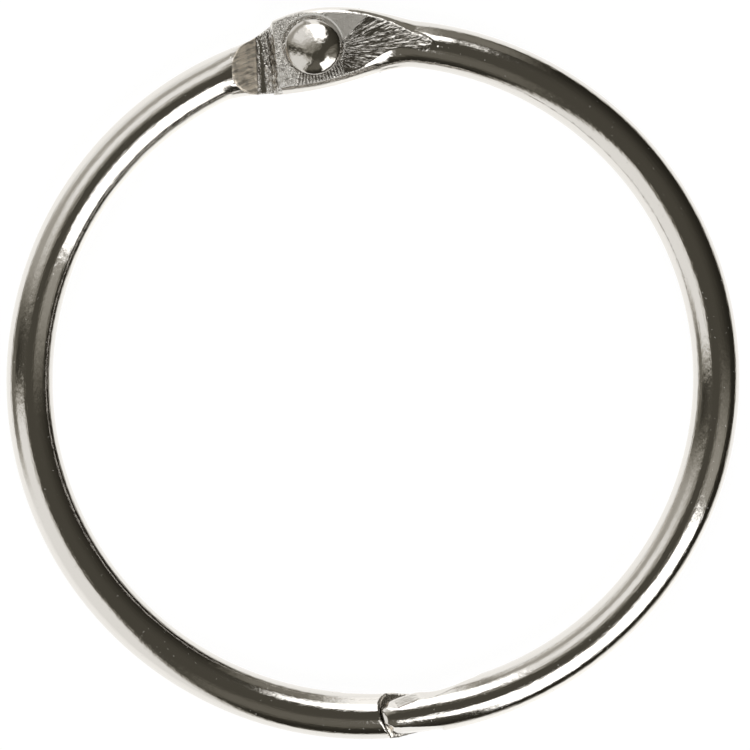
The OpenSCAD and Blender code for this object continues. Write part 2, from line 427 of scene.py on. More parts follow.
def dent(place, distance):
    """How far a point on the outer face is raised."""
    flat = Vector((place.x, place.y - PIVOT_Y))
    raised = 0.014 * wave(2.6, *place) + 0.008 * wave(6, *place)
    from_ring = (flat - RING_CENTRE).length
    raised -= RING_DEPTH * between(from_ring, RING_R, RING_R - RING_EDGE)
    lip = between(abs(from_ring - RING_R - 0.09), 0.1, 0.02)
    raised += RING_LIP * lip * between(flat.x + flat.y, -0.5, 1)
    fan = flat - FAN_AT
    turn, reach = math.atan2(fan.y, fan.x), fan.length
    fold = wave(1, turn * 9 + 0.5 * wave(0.9, *place), reach * 0.35, 3.3)
    return raised + FOLD * fold * between(distance, 2.6, 3.6) * between(distance, 9, 7)


# %% [markdown]
# The metal that the die squeezed out rolled over its long rims and left a bevel there. The rim is
# where the squared section meets the pressed face. That face tilts, so the meeting point is found
# in a few rounds, each from the height of the face at the last one.

# %% Bevels along the rims
BEVEL_SLOPE, FIND_ROUNDS = 0.42, 4


def rim_fall(place, distance, side):
    """How far the pressed face falls away at its two long rims."""
    offset = out_from_bend(place)
    half_width, power = section_at(distance, offset > 0, side)
    side_sign = 1 if offset > 0 else -1
    rim = 0.7 * half_width
    for _ in range(FIND_ROUNDS):
        share = min(1, ramp_at(distance, side_sign * rim) / WIRE_R) ** (2 / power)
        rim = half_width * (1 - share) ** (power / 2)
    away = rim - abs(offset)
    if offset > 0:
        width = 0.27 * between(distance, -0.6, 1.2) * between(distance, 11.4, 8.2)
    else:
        width = 0.46 * between(distance, 3.6, 6.4) * between(distance, 9, 6.6)
    fall = BEVEL_SLOPE * min(width, max(0, width - away))
    return fall * between(place.z, 0.35, 0.95)


# %% [markdown]
# The shear tore the last of the metal, so the end of the eye and the foot of the shoulder are
# ragged. All marks are worked out first and the points moved afterwards, so that no mark is
# measured on metal that has already moved. Where the bevels lie is noted for the finish.

# %% Tears, and all marks of the eye
def tear(place):
    """How far a point of the sheared end is raised: ragged, and drawn out along the end."""
    return 0.1 * wave(1, 4 * place.x, 2 * place.y, 3 * place.z) + 0.04 * wave(5, *place)


def foot_marks(place, across):
    """How far a point below the eye is raised: torn, ragged at the shoulder's foot and folded."""
    raised = 0.25 * tear(place) * between(across, SHOULDER_AT + 0.25, SHOULDER_AT + 0.05)
    foot = abs(across - SHOULDER_AT + 0.02 - 0.1 * wave(2, place.y, 0, 0))
    raised += 0.08 * between(foot, 0.16, 0.02) * (0.6 + 0.8 * wave(3, place.y, 4, 0))
    fold = wave(1, place.y * 4, across * 0.5, 1.7)
    return raised + 0.04 * fold * between(across, SHOULDER_AT + 0.2, SHOULDER_AT + 0.5)


def work_eye(eye, side):
    """Moves the points of the pressed and sheared faces."""
    moves = []
    shine = eye.data.attributes.new("bevel", "FLOAT", "POINT").data
    for index, vertex in enumerate(eye.data.vertices):
        place, out = vertex.co, vertex.normal
        distance = along_wire(place)
        across = math.cos(SHOULDER_SLANT) * place.x + math.sin(SHOULDER_SLANT) * (place.y - PIVOT_Y)
        move, fall = 0, 0
        if out.z > -0.3 and place.z > 0.3:
            fall = rim_fall(place, distance, side)
            shine[index].value = between(fall, 0.004, 0.02)
        if out.z > 0.3 and place.z > 0.5 * EYE_T:
            above = place.z - ramp_at(distance, out_from_bend(place))
            pressed = between(above, -0.12, -0.03)
            move = dent(place, distance) * pressed * between(out.z, 0.6, 0.9)
            move *= between(fall, 0.03, 0)
        if distance < 0 and out.x < -0.2 and place.x < -END_AT + 0.25:
            move = tear(place) * between(out.x, -0.2, -0.5)
        if out.z < -0.3 and across < SHOULDER_AT + 2 and place.z > -0.9 * WIRE_R:
            move = foot_marks(place, across)
        moves.append(move * out - Vector((0, 0, fall)))
    for vertex, move in zip(eye.data.vertices, moves):
        vertex.co += move
    print("largest mark on the", side, "eye:", round(max(move.length for move in moves), 3))


# %% [markdown]
# ## The tongue of the latch
# The two halves close in a half lap. Seen from above each tongue is a blunt nose with a long
# rounded inner side, nipped in a little at its root. The nipping tool drew the nose by eye, so its
# outline is a smooth line through a few points, and the sides that the tool left lean inwards.

# %% Outline of the tongue
LAP_SEAM = 6.6
INNER_SIDE = [(0.6, 1.54), (-0.4, 1.41), (-1.3, 1.22), (-1.95, 0.98), (-2.36, 0.66)]
BLUNT_END = [
    (-2.5, 0.34), (-2.46, -0.2), (-2.34, -0.6), (-2.15, -1.02), (-1.83, -1.42), (-1.38, -1.65),
]
BESIDE_WIRE = 2.7
NOTCH_WALL = [
    (1.7, -BESIDE_WIRE), (2.02, -1.75), (2.16, -1.4), (2.3, -1), (2.44, -0.6), (2.55, -0.2),
    (2.6, 0.3), (2.6, 0.75), (2.54, 1.11), (2.3, 1.5), (1.9, 1.85), (1.6, BESIDE_WIRE),
]
OUTER_SIDE = {
    "right": [
        (-0.6, -TONGUE_OUT), (0.8, -TONGUE_OUT), (2.15, -TONGUE_OUT), (2.5, -1.95), (3, -3),
    ],
    "left": [(-0.6, -TONGUE_OUT), (0.3, -1.74), (1.3, -1.9), (1.8, -2.3), (3, -3.5)],
}


def middle_of_wire(x, side):
    """How far inside the ring the middle of the bent wire lies, at a place along the lap."""
    tilt = -LAP_AT[side] / BEND_R
    return SIDE_SHIFT * math.sin(tilt) + (x - SIDE_SHIFT) ** 2 / (2 * BEND_R)


def smooth_line(points, steps=5):
    """A smooth line through points, with this many steps between each two of them."""
    line = []
    for k in range(len(points) - 1):
        ends = [Vector(points[max(0, min(j, len(points) - 1))]) for j in range(k - 1, k + 3)]
        for step in range(steps):
            t = step / steps
            before, start, end, after = ends
            bend = (2 * before - 5 * start + 4 * end - after) * t ** 2
            twist = (3 * start - before - 3 * end + after) * t ** 3
            line.append(tuple(start + ((end - before) * t + bend + twist) / 2))
    return line + [tuple(points[-1])]


def tongue_outline(side):
    """The tongue from above: +x along the wire to its root, +y into the ring."""
    root = []
    for x in (6.4, 5.4, 4.4, 3.4, 2.4, 1.5):
        nip = NIP[side] * math.cos(math.pi / 2 * min((x - NIP_AT) / NIP_REACH, 1)) ** 2
        clear = 0.3 if x > 6 else 0
        root.append((x, middle_of_wire(x, side) + WIRE_R + clear - nip))
    far = 3 * LAP_LEN
    drawn = smooth_line(root + INNER_SIDE + BLUNT_END + OUTER_SIDE[side])
    return drawn + [(far, -2 * WIRE_R), (far, 2 * WIRE_R + far / 2)]


for side in LAP_AT:
    print("the", side, "tongue is drawn with", len(tongue_outline(side)), "points")


# %% [markdown]
# ### The nose
# The outline is drawn flat at the lowest point of the ring and then laid on the wire. The nose is
# cut out with a block of that outline. A plain block would leave upright sides all the way up, but
# the tool left its sides leaning in above a certain height, so the block is extruded in three
# rises and the upper points are moved inwards.

# %% Cut the nose with its leaning sides
SIDE_LEAN, SIDE_UPRIGHT = 0.8, 0.82
OUTER_LEAN, OUTER_UPRIGHT = 0.38, 0.35
END_LEAN, END_UPRIGHT = 1.7, 1.58
LAST_RISE = 0.6


def on_lap(side):
    """Places a point of the lap: its middle lies this far along the wire from the lowest point."""
    turn = Matrix.Rotation(LAP_AT[side] / BEND_R, 4, "Z")
    return turn @ Matrix.Translation((0, -BEND_R, 0))


def lap_block(outline, side, low, high):
    seat = on_lap(side)
    lift = Vector((0, 0, high - low))
    return block(outline, lambda x, y: seat @ Vector((x, y, low)), lift)


def lean_at(x, y, height):
    """How far the side of the nose has leant in at a height above the mating face."""
    if y > 0.5:
        share = min(1, max(0, (5.4 - x) / 5.4)) * min(1, max(0.1, (x + 2.5) / 1.1))
        return SIDE_LEAN * max(0, height - SIDE_UPRIGHT) * share
    end = END_LEAN * max(0, height - END_UPRIGHT) * min(1, max(0, (y + 1.7) / 1.3)) * (x < 0)
    width = 1.2 - 0.14 * max(x, -1.4) if x < 2.2 else 0
    width *= 0.6 + 0.4 * between(x, -2.2, -1.5)
    outer = OUTER_LEAN * max(0, height - OUTER_UPRIGHT) * width * between(y, -0.5, -1.1)
    return max(end, outer)


def nose_form(side):
    """The tongue's outline as a block: upright below the mating face and leaning in above it."""
    outline = tongue_outline(side)
    form = lap_block(outline, side, -2 * WIRE_R, 0)
    start_edit(form, "FACE")
    mesh = bmesh.from_edit_mesh(form.data)
    for face in mesh.faces:
        face.select_set(face.calc_center_median().z > -0.01)
    bmesh.update_edit_mesh(form.data)
    for rise in (SIDE_UPRIGHT, END_UPRIGHT - SIDE_UPRIGHT, LAST_RISE):
        bpy.ops.mesh.extrude_region_move(TRANSFORM_OT_translate={"value": (0, 0, rise)})
    end_edit()
    seat = on_lap(side)
    back = seat.inverted()
    for vertex in form.data.vertices:
        height = vertex.co.z
        if height > 0.01:
            here = (back @ vertex.co).to_2d()
            k = min(range(len(outline)), key=lambda j: (Vector(outline[j]) - here).length)
            along = Vector(outline[(k + 1) % len(outline)]) - Vector(outline[k - 1])
            inwards = Vector((-along.y, along.x, 0)).normalized()
            vertex.co += seat.to_3x3() @ inwards * lean_at(*outline[k], height)
    return form


# %% [markdown]
# ### The crest, the scooped wall and the catch
# Nipping pushed the crest of the tongue outwards and thinned its tip, so the blank's own points
# are moved that way. The rest is cut, as a tool would cut it. A wall behind the lap is scooped to
# take the other nose, and a round bar makes the catch: it is added for the rib under the nose
# and, a little larger, taken away for the groove that the other half's rib snaps into.

# %% Form the tongue
TONGUE_STEP = 0.2
CREST_LEAN, TIP_FALL = 0.17, 0.12


def lean_crest(blank, side):
    """Leans the crest of the tongue outwards towards the nose, as the nipping tool pushed it."""
    seat = on_lap(side)
    back = seat.inverted()
    for vertex in blank.data.vertices:
        place = back @ vertex.co
        if place.x < 1.6 and place.z > 0:
            place.y -= CREST_LEAN * place.z * (1.6 - place.x) / 4
            place.z -= TIP_FALL * max(0, (-1.3 - place.x) / 1.1) ** 2 * place.z / WIRE_R
            vertex.co = seat @ place


def cross_bar(along, radius, height, side):
    """A round bar across the tongue, for the catch rib or for its groove."""
    bpy.ops.object.select_all(action="DESELECT")
    bpy.ops.mesh.primitive_cylinder_add(vertices=64, radius=radius, depth=CATCH_W)
    bar = bpy.context.object
    lying = Matrix.Rotation(math.pi / 2, 4, "X")
    bar.data.transform(on_lap(side) @ Matrix.Translation((along, 0, height)) @ lying)
    return bar


def tongue_blank(side):
    """The latch end of the wire, cut to its tongue."""
    lap_angle = -math.pi / 2 + LAP_AT[side] / BEND_R
    from_angle = lap_angle - (LAP_LEN / 2 + 1) / BEND_R
    to_angle = lap_angle + (LAP_SEAM + 1) / BEND_R
    blank = spun_wire("tongue_blank", from_angle, to_angle, TONGUE_STEP)
    close_ends(blank)
    lean_crest(blank, side)
    past_nose = -2 * LAP_LEN
    wall = smooth_line(NOTCH_WALL) + [(past_nose, BESIDE_WIRE), (past_nose, -BESIDE_WIRE)]
    cut(blank, lap_block(wall, side, -2 * WIRE_R, FACE_GAP / 2))
    cut(blank, cross_bar(-CATCH_AT, CATCH_R, CATCH_R - CATCH_H, side), "UNION")
    cut(blank, nose_form(side), "INTERSECT")
    cut(blank, cross_bar(CATCH_AT, CATCH_R + FACE_GAP, CATCH_H - CATCH_R, side))
    return blank


# %% [markdown]
# ## One half ring
# The eye, the plain wire and the tongue meet square to the wire. Each is cut back to a seam, and
# the open rims are bridged face to face, so that a half ring is one closed skin. The left half is
# the same form turned over, as on the bench. It differs a little in its nip, in its bore, and in
# the taper and the trim of its eye.

# %% Join the three stretches of a half ring
WIRE_STEP = 1
BRIDGE = 0.1


def bridge_at(half, angle):
    """Bridges the two open rims that lie close to an angle about the bend."""
    start_edit(half, "EDGE")
    near = 2 * BRIDGE / BEND_R

    def at_seam(place):
        return abs(math.atan2(place.y, place.x - SIDE_SHIFT) - angle) < near

    picked = pick(half, at_seam, borders_only=True)
    bpy.ops.mesh.bridge_edge_loops()
    end_edit()
    print("bridged", picked, "rim edges")


def half_ring(name, side):
    eye_seam = PIVOT_ANGLE - EYE_SEAM / BEND_R
    lap_seam = -math.pi / 2 + (LAP_AT[side] + LAP_SEAM) / BEND_R
    eye = eye_blank(side)
    press_eye(eye)
    shear_end(eye, side)
    soften(eye, EYE_VOXEL, EYE_ROUNDS)
    work_eye(eye, side)
    cut_back(eye, eye_seam, 1)
    tongue = tongue_blank(side)
    soften(tongue, TONGUE_VOXEL, TONGUE_ROUNDS)
    cut_back(tongue, lap_seam, -1)
    gap = BRIDGE / BEND_R
    half = spun_wire(name, lap_seam + gap, eye_seam - gap, WIRE_STEP)
    take(half)
    eye.select_set(True)
    tongue.select_set(True)
    bpy.ops.object.join()
    bridge_at(half, eye_seam)
    bridge_at(half, lap_seam)
    start_edit(half)
    bpy.ops.mesh.select_all(action="SELECT")
    bpy.ops.mesh.normals_make_consistent(inside=False)
    end_edit()
    bpy.ops.object.shade_smooth()
    print(name, "has", len(half.data.polygons), "faces")
    return half


# %% Right and left half
def settle(piece, turned_over=False):
    """Turns a piece over if asked, lifts it on to the surface and shrinks it to metres."""
    turn = Matrix.Rotation(math.pi if turned_over else 0, 4, "Y")
    piece.data.transform(Matrix.Scale(MM, 4) @ Matrix.Translation((0, 0, WIRE_R)) @ turn)


right_half = half_ring("right_half_of_wire", "right")
settle(right_half)
left_half = half_ring("left_half_of_wire", "left")
settle(left_half, turned_over=True)

# %% [markdown]
# ## The rivet
# A rivet is round about its axis, so its profile is drawn once, from the top of the dome down to
# the peened tail, and spun round the pivot. The dome is two arcs that run into each other: a wide
# crown and a tighter edge. The hammer that headed it never struck quite true, so the crown is then
# pushed a little off the axis, and more on the side that the last blow met.

# %% Spin the rivet's profile
RIVET_TURNS = 128
HEAD_R, TAIL_R, CROWN_R, HEAD_RIM = 2.15, 1.8, 3.7, 0.44
CROWN_OUT, CROWN_MORE, CROWN_DOWN = 0.42, 0.5, 0.68
DOME_TOP = rivet_high.z / MM
TAIL_LOW = rivet_low.z / MM
HEAD_BASE = WIRE_R + EYE_T + FACE_GAP
SHANK_R = BORE_R["left"]


def rivet_profile():
    """Points from the top of the dome to the middle of the tail: how far out, and how high."""
    rim_top = HEAD_BASE + HEAD_RIM
    rise = DOME_TOP - rim_top
    edge_r = (2 * CROWN_R * rise - rise ** 2 - HEAD_R ** 2) / (2 * (CROWN_R - HEAD_R))
    widest = math.asin((HEAD_R - edge_r) / (CROWN_R - edge_r))
    dome = arc(0, DOME_TOP - CROWN_R, CROWN_R, math.pi / 2, math.pi / 2 - widest, 24)
    dome += arc(HEAD_R - edge_r, rim_top, edge_r, math.pi / 2 - widest, 0, 20)[1:]
    underside = [(HEAD_R, HEAD_BASE + 0.03), (HEAD_R - 0.04, HEAD_BASE)]
    shank = [(SHANK_R, HEAD_BASE), (SHANK_R, WIRE_R - EYE_T + 0.01)]
    tail = [(1.65, 0.36), (TAIL_R, 0.2), (TAIL_R - 0.05, 0.13)]
    tail += [(1.6, TAIL_LOW), (0, TAIL_LOW + 0.04)]
    return dome + underside + shank + tail


def spun_rivet(name):
    profile = rivet_profile()
    bpy.ops.object.select_all(action="DESELECT")
    bpy.ops.mesh.primitive_circle_add(vertices=3, radius=1)
    rivet = bpy.context.object
    rivet.name = name
    shape = bmesh.new()
    points = [shape.verts.new((r, PIVOT_Y, z)) for r, z in profile]
    for first, second in zip(points, points[1:]):
        shape.edges.new((first, second))
    shape.to_mesh(rivet.data)
    shape.free()
    start_edit(rivet)
    bpy.ops.mesh.select_all(action="SELECT")
    bpy.ops.mesh.spin(steps=RIVET_TURNS, angle=2 * math.pi, center=(0, PIVOT_Y, 0), axis=(0, 0, 1))
    bpy.ops.mesh.select_all(action="SELECT")
    bpy.ops.mesh.remove_doubles(threshold=0.002)
    bpy.ops.mesh.normals_make_consistent(inside=False)
    end_edit()
    for vertex in rivet.data.vertices:
        crown = max(0, vertex.co.z - HEAD_BASE - HEAD_RIM) / (DOME_TOP - HEAD_BASE - HEAD_RIM)
        upper = between(vertex.co.y - PIVOT_Y, -0.3, 1) * between(vertex.co.x, -1.3, 0.3)
        vertex.co += crown * Vector((CROWN_OUT + CROWN_MORE * upper, -CROWN_DOWN, 0))
    rivet.data.transform(Matrix.Scale(MM, 4))
    bpy.ops.object.shade_smooth()
    print(name, "has", len(rivet.data.polygons), "faces")
    return rivet


rivet = spun_rivet("rivet")

# %% [markdown]
# ## What moves with what
# The right half swings about the rivet, which is fast in the left half. Each piece therefore
# rides on the body that it belongs to and stands in for its node of the imported model.

# %% Put each piece on its body
for piece, body, node, slot in [
    (right_half, "right_half", "right_half_ring", "nickel_wire"),
    (left_half, "left_half", "left_half_ring", "nickel_wire"),
    (rivet, "left_half", "hinge_rivet", "nickel_rivet"),
]:
    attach(piece, body)
    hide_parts(node)
    print(piece.name, "rides on", body)


# %% [markdown]
# ## Shader arithmetic
# A finish is a pattern that varies over the surface, and a pattern is arithmetic. The nodes could
# be placed and linked by hand, but a long formula is hard to follow that way. Number lets Python
# expressions build it instead, so that the code reads like the formula it stands for, and Sheet
# holds the nodes of one material and adds the few kinds that are used here.

# %% A number in a shader, and a helper for its nodes
class Number:
    """A number that varies over the surface, held by one socket."""

    def __init__(self, sheet, socket):
        self.sheet = sheet
        self.socket = socket

    def __add__(self, other):
        return self.sheet.math("ADD", self, other)

    def __sub__(self, other):
        return self.sheet.math("SUBTRACT", self, other)

    def __rsub__(self, other):
        return self.sheet.math("SUBTRACT", other, self)

    def __mul__(self, other):
        return self.sheet.math("MULTIPLY", self, other)

    def __truediv__(self, other):
        return self.sheet.math("DIVIDE", self, other)

    def __pow__(self, other):
        return self.sheet.math("POWER", self, other)

    __radd__ = __add__


class Sheet:
    """The node tree of a material or of the world."""

    def __init__(self, owner):
        owner.use_nodes = True
        self.tree = owner.node_tree
        self.tree.nodes.clear()

    def node(self, kind, settings=None, **sockets):
        """Adds a node: its settings first, then its sockets, named by their label or as in_0."""
        made = self.tree.nodes.new("ShaderNode" + kind)
        for name, value in (settings or {}).items():
            setattr(made, name, value)
        for name, value in sockets.items():
            label = int(name[3:]) if name.startswith("in_") else name.replace("_", " ")
            target = made.inputs[label]
            value = getattr(value, "socket", value)
            if isinstance(value, bpy.types.NodeSocket):
                self.tree.links.new(value, target)
            else:
                target.default_value = value
        return made

    def math(self, operation, *values):
        sockets = {f"in_{place}": value for place, value in enumerate(values)}
        return Number(self, self.node("Math", {"operation": operation}, **sockets).outputs[0])

    def step(self, value, low, high):
        """0 below low and 1 above high, or the other way round, with a smooth slope between."""
        made = self.node(
            "MapRange", {"interpolation_type": "SMOOTHSTEP"},
            Value=value, From_Min=low, From_Max=high, To_Min=0, To_Max=1,
        )
        return Number(self, made.outputs[0])

    def parts(self, vector):
        made = self.node("SeparateXYZ", Vector=vector)
        return [Number(self, socket) for socket in made.outputs]

    def noise(self, scale, detail, x, y, z, rough=0.5):
        """Noise from -1 to 1, with about this many waves to the unit of x, y and z."""
        place = self.node("CombineXYZ", X=x, Y=y, Z=z).outputs[0]
        made = self.node("TexNoise", Vector=place, Scale=scale, Detail=detail, Roughness=rough)
        return Number(self, made.outputs[0]) * 2 - 1

    def blend(self, share, first, second):
        """The first colour, mixed into the second as the share rises."""
        made = self.node("Mix", {"data_type": "RGBA"}, in_0=share, in_6=first, in_7=second)
        return made.outputs[2]

    def largest(self, first, *others):
        for other in others:
            first = self.math("MAXIMUM", first, other)
        return first

    def show(self, shader, kind="Material"):
        """Links a shader to the output of the material or of the world."""
        self.node("Output" + kind, Surface=shader.outputs[0])

    def metal(self, relief, **sockets):
        """Covers the surface with metal that has this relief in millimetres."""
        bump = self.node("Bump", Strength=1, Distance=MM, Height=relief)
        self.show(self.node("BsdfPrincipled", Normal=bump.outputs[0], **sockets))


# %% [markdown]
# ## Nickel plate on drawn wire
# Bright nickel copies whatever lies under it. Drawing left fine streaks along the wire, the bath
# a faint orange peel, and handling a few pits. Where the die pressed or the shear tore, the plate
# is duller. The finish could be painted, but a formula gives it at any scale, so it is built in
# steps: where a point lies, which tool touched it, what pattern that tool leaves, and what relief
# and colour the pattern makes. Both half rings share it.

# %% Where a point of the half ring lies
class Places:
    """Places on a half ring in millimetres, as it lay before the left one was turned over."""

    def __init__(self, sheet, turned_over):
        self.sheet = sheet
        x, y, z = sheet.parts(sheet.node("TexCoord").outputs["Object"])
        sign = -1 if turned_over else 1
        self.x, self.y, self.z = x * (sign / MM), y * (1 / MM), z * (sign / MM) - sign * WIRE_R
        from_bend = self.x - SIDE_SHIFT
        turn = sheet.math("ARCTAN2", self.y, from_bend)
        self.offset = sheet.math("SQRT", from_bend * from_bend + self.y * self.y) - BEND_R
        self.along = turn * BEND_R
        self.distance = PIVOT_ANGLE * BEND_R - self.along
        self.px, self.py = self.x, self.y - PIVOT_Y
        self.die_x = self.px * math.cos(DIE_TURN) - self.py * math.sin(DIE_TURN)
        self.die_y = self.px * math.sin(DIE_TURN) + self.py * math.cos(DIE_TURN)
        self.across = self.px * math.cos(SHOULDER_SLANT) + self.py * math.sin(SHOULDER_SLANT)
        self.past_end = self.px * math.cos(END_SLANT) + self.py * math.sin(END_SLANT)
        self.low_end = sheet.step(self.py, -0.6, -1.8)
        self.wander = sheet.noise(1.6, 2, self.px, self.py, 0) * 0.2

    def around(self, centre):
        """The two offsets from a place near the pivot, and the distance to it."""
        from_x, from_y = self.px - centre.x, self.py - centre.y
        return from_x, from_y, self.sheet.math("SQRT", from_x * from_x + from_y * from_y)


# %% [markdown]
# ### Where each tool touched
# A zone is a number that is 1 where a tool touched and 0 elsewhere, with a short slope between.
# The die left a hammered face all round the rivet, a brushed patch beside it, the long ramp, and
# combed lines below. The edge of each wanders a little, as no worn tool leaves a straight one.

# %% Zones of the pressed face
PATCH_CORNER, PATCH_SLOPE = Vector((2.3, 0.35)), 1.08
COMB_CENTRE, COMB_FROM = Vector((0.68, 3.74)), 5.2


def pressed_zones(at):
    """The zones that the die left on the outer face of the eye."""
    step, math_ = at.sheet.step, at.sheet.math
    zone = SimpleNamespace()
    rise = math_("MAXIMUM", (at.distance - RAMP_FROM) * (1 / (RAMP_TO - RAMP_FROM)), 0)
    ramp = rise ** RAMP_POWER * (WIRE_R - EYE_T) + EYE_T
    ramp = ramp - math_("MINIMUM", rise * 1.5, 1) * at.offset * RAMP_TILT
    pressed = step(at.z - ramp, -0.11, -0.05) * step(at.distance, 9.6, 8.8)

    past_patch = at.die_y - PATCH_CORNER.y - (at.die_x - PATCH_CORNER.x) * PATCH_SLOPE
    below_patch = step(past_patch + at.wander, 0.16, -0.16)
    on_ramp = pressed * step(at.die_x + at.wander, 2.2, 2.55) * below_patch
    brushed = pressed * step(at.die_x, 0.6, 1.6) * step(below_patch, 0.8, 0.2)
    brushed = brushed * step(at.die_y, 0, 0.4)
    bevel = at.sheet.node("Attribute", {"attribute_name": "bevel"}).outputs["Fac"]
    face = 1 - Number(at.sheet, bevel)
    zone.hammered = pressed * (1 - math_("MAXIMUM", on_ramp, brushed)) * face
    zone.on_ramp, zone.brushed = on_ramp * face, brushed * face
    zone.corner = zone.hammered * step(at.px, -1.9, -2.5) * step(at.py, -0.7, -1.5)

    comb_x, comb_y, reach = at.around(COMB_CENTRE)
    zone.comb_turn = math_("ARCTAN2", comb_x, 0 - comb_y)
    comb = step(reach, COMB_FROM, COMB_FROM + 0.2)
    comb = comb * step(zone.comb_turn, -0.4, -0.33) * step(zone.comb_turn, 0.27, 0.24)
    zone.comb = comb * zone.hammered

    # The coined ring round the rivet: its bright line is painted matt white further on as a
    # highlight
    off_line = math_("ABSOLUTE", at.around(RING_CENTRE)[2] - RING_R - 0.04)
    zone.ring_line = pressed * step(off_line, 0.1, 0.03)
    zone.ring_line = zone.ring_line * step(at.px + at.py * 0.7 + at.wander * 2, -0.4, 0.8)
    zone.ring_line = zone.ring_line * step(at.py + at.wander, -0.1, 0.6)
    return zone


# %% [markdown]
# The shear tore the end of the eye and smeared the metal that was left, and little nickel was
# thrown on the shoulder, which lies deep between the two halves. These zones are told apart by
# their height and by how far they lie across the eye.

# %% Zones of the shear, the shoulder and the lap
HINGE_FROM, LAP_FROM = 15, -20


def add_sheared_zones(at, zone):
    step, math_ = at.sheet.step, at.sheet.math
    at_hinge = step(at.y, HINGE_FROM, HINGE_FROM + 1)
    beside, above = at.across - SHOULDER_AT, at.z
    off_slope = beside * math.sin(SHOULDER_SLOPE) + above * math.cos(SHOULDER_SLOPE)
    # The shoulder lies deep between the halves; its streaks are darkened further on as painted
    # shade
    zone.shoulder = step(off_slope, -0.36, -0.3) * step(off_slope, -0.1, -0.15)
    zone.shoulder = zone.shoulder * at_hinge * step(at.z, 0, -0.12)

    mating = step(math_("ABSOLUTE", at.z), 0.12, 0.07)
    mating = mating * step(at.across, SHOULDER_AT + 0.25, SHOULDER_AT) * at_hinge
    foot_edge = at.across + at.wander * 0.8
    zone.foot = mating * step(foot_edge, SHOULDER_AT - 0.36, SHOULDER_AT - 0.24)
    zone.smeared = mating * step(at.past_end + at.wander, 4.05, 3.9)
    zone.torn = step(at.px, -END_AT + 0.02, -END_AT - 0.08) * step(at.distance, 0, -1)
    zone.speckled = at.sheet.largest(zone.torn, zone.smeared, zone.foot)
    # A band across the torn end, darkened further on as the painted shadow of the gap at its foot
    off_band = math_("ABSOLUTE", at.past_end + 3.28 + at.wander * 0.5)
    zone.dark_band = step(off_band, 0.16, 0.06) * step(at.py, -1.9, -0.6) * zone.torn

    # The mating faces of the lap; away from the outer side they are darkened further on as painted
    # shade under the nose
    zone.lap = step(at.y, LAP_FROM, LAP_FROM - 1) * step(math_("ABSOLUTE", at.z - 0.02), 0.07, 0.03)
    zone.lap_out = zone.lap * step(at.offset, 0.35, 0.75)


# %% [markdown]
# ### The pattern of each tool
# Drawing leaves long streaks, hammering leaves grain and chips, a scored die leaves combed lines,
# and metal that is drawn out up the ramp leaves a fan of ridges. Noise that is stretched along
# the tool's path makes most of them. Ridges that fan out are a sine of the angle about a centre,
# bent and broken by noise, because noise alone would curl them into loops.

# %% Patterns
COMB_LINES, FAN_RIDGES = 153, 92


def tool_patterns(at, zone):
    step, math_, noise_at = at.sheet.step, at.sheet.math, at.sheet.noise
    mark = SimpleNamespace()
    mark.streaks = noise_at(1, 3, at.along * 0.3, at.offset * 6, at.z * 6, 0.6)
    mark.peel = noise_at(1, 2, at.along * 1.6, at.offset * 4, at.z * 4)
    mark.pits = step(noise_at(6, 0, at.x, at.y, at.z), 0.66, 0.76)
    mark.grain = noise_at(4.5, 3, at.x, at.y, at.z, 0.6)
    mark.chips = noise_at(3.2, 2, at.x, at.y, at.z, 0.5)
    mark.brush = noise_at(1, 3, at.px * 14 - at.py * 2, at.py * 1.2, at.z, 0.6)
    mark.uneven = noise_at(1.5, 2, at.px, at.py, 0)
    mark.combed = math_("SINE", zone.comb_turn * COMB_LINES + mark.uneven * 2.5)
    mark.shreds = noise_at(1, 2, at.px * 4.2, at.py * 2.4, at.z * 3, 0.6)
    warp = noise_at(0.9, 2, at.px, at.py, 0)
    bowed = at.py * 3.4 + warp * 0.5 + at.across * at.across * 0.05
    mark.lines = noise_at(1, 3, at.across * 0.6, bowed, 0, 0.6)

    fan_x, fan_y, reach = at.around(FAN_AT)
    turn = math_("ARCTAN2", fan_y, fan_x)
    strands = noise_at(1, 2, turn * 5, reach * 0.25, 3, 0.5)
    folds = math_("SINE", turn * FAN_RIDGES + strands * 10 + warp * 1.4)
    fading = step(noise_at(1, 1, turn * 15, reach * 0.8, 0), -0.12, 0.3)
    mark.hairs = noise_at(1, 2, turn * 30, reach * 0.8, 5, 0.6)
    mark.ridges = step(folds, 0.25, 0.9) * fading * step(at.distance, 10.5, 8.5) * zone.on_ramp
    return mark


# %% [markdown]
# ### Relief
# The relief adds up the patterns, each in its own zone and at its own height. The tapering end of
# the wire, the low corner of the eye, the smeared face and the outer side of the lap also lean a
# little, and each lean is a slope too slight for the mesh.

# %% Relief of the plate, in millimetres
def plate_relief(at, zone, mark):
    step = at.sheet.step
    relief = mark.streaks * 0.0045 + mark.peel * 0.005 - step(at.distance, 7, 13) * 0.18
    relief = relief + (at.px + 2.2) * zone.corner * 0.3
    relief = relief + (mark.grain * 0.05 + mark.chips * 0.05) * zone.hammered
    relief = relief + mark.grain * zone.lap * 0.016 - (at.offset - 0.5) * zone.lap_out * 0.3
    relief = relief + mark.brush * zone.brushed * 0.008
    relief = relief + mark.combed * zone.comb * 0.03
    relief = relief + mark.ridges * 0.035
    relief = relief + (mark.grain * 0.006 + mark.hairs * 0.016) * zone.on_ramp
    relief = relief + mark.shreds * (zone.smeared + zone.foot + zone.torn) * 0.09
    lean = step(at.die_y, 0.5, -1) * 0.3 + 0.15
    relief = relief - (at.past_end - 3.75) * zone.smeared * lean
    relief = relief + mark.lines * zone.shoulder * 0.03
    return relief - mark.pits * 0.006
